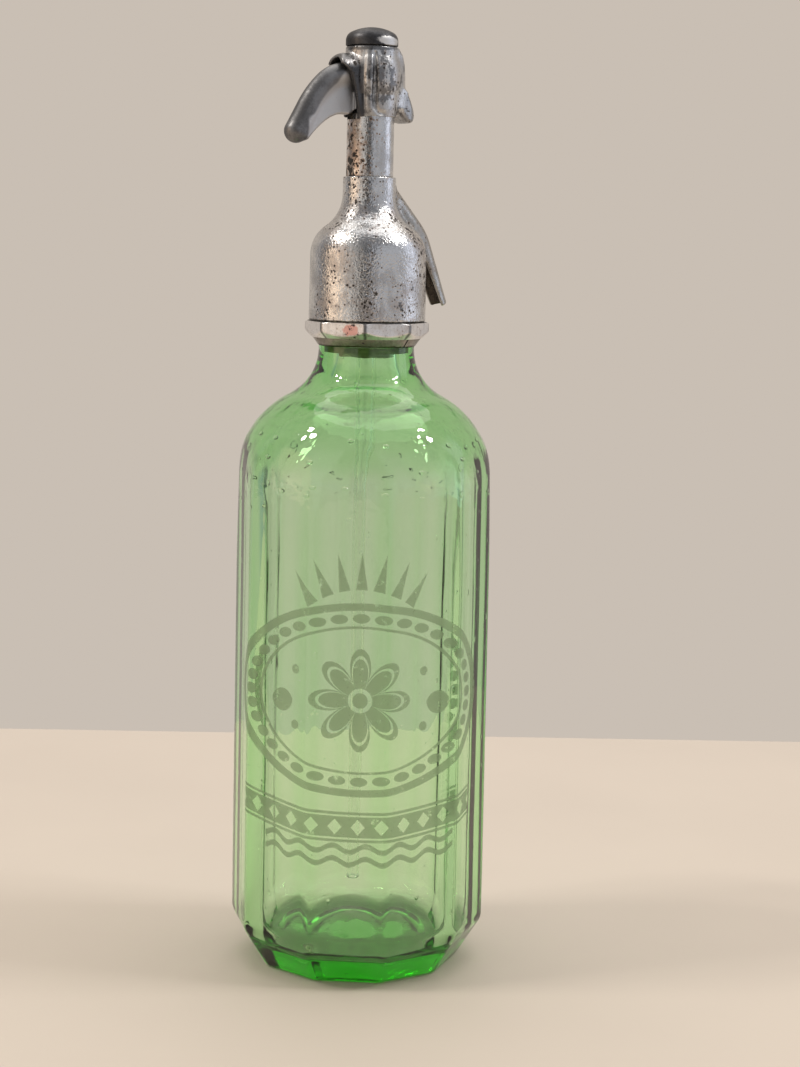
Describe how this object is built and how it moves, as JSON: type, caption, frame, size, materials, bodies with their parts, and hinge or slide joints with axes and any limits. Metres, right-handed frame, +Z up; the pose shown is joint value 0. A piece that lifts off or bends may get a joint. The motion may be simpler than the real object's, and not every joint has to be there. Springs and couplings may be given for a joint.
{
  "type": "soda siphon",
  "caption": "Soda siphon: a decagonal green glass bottle with a screwed-on metal head, a curved side lever, a sprung lift valve and a slanting spout.",
  "frame": {"origin": "centre of the foot, on the table", "axes": "+Z up along the bottle, +X towards the spout, -X towards the lever"},
  "size_m": [0.0892, 0.0858, 0.3245],
  "materials": {
    "bottle_glass": "clear green, pressed",
    "tube_glass": "clear",
    "rubber": "aged, olive",
    "seal": "dark",
    "brass": "turned",
    "plated_metal": "worn plating with dark pits",
    "collar_metal": "worn plating, dull",
    "lever_metal": "smooth dark grey",
    "cap_metal": "dark, worn bright at the edge",
    "spring_steel": "drawn wire"
  },
  "bodies": {
    "siphon": {"bottle": "bottle_glass", "dip_tube": "tube_glass", "tube_bung": "rubber", "tube_ferrule": "brass", "neck_gasket": "seal", "collar_half_front": "collar_metal", "collar_half_rear": "collar_metal", "collar_nut": "plated_metal", "head_body": "plated_metal", "spout": "plated_metal", "valve_seat": "brass", "stem_tube": "plated_metal", "packing_washer": "seal", "gland_nut": "brass", "lever_housing": "plated_metal", "lever_pin": "spring_steel", "spring_cap": "cap_metal", "return_spring": "spring_steel"},
    "lever": {"lever": "lever_metal"},
    "plunger": {"plunger_rod": "brass", "plunger_head": "brass", "seal_holder": "brass", "valve_seal": "seal", "spring_washer": "spring_steel"}
  },
  "joints": [
    {"name": "lever_press", "type": "hinge", "parent": "siphon", "child": "lever", "pos_m": [-0.0058, 0, 0.2992], "axis": [0, -1, 0], "range_deg": [0, 18]},
    {"name": "plunger_lift", "type": "slide", "parent": "siphon", "child": "plunger", "axis": [0, 0, 1], "range_m": [0, 0.00174], "stiffness_N_per_m": 100, "springref_m": -0.006, "deforming": ["return_spring"]}
  ],
  "couplings": [
    {"joint": "lever_press", "follows": "plunger_lift", "rad_per_m": 180.27}
  ]
}
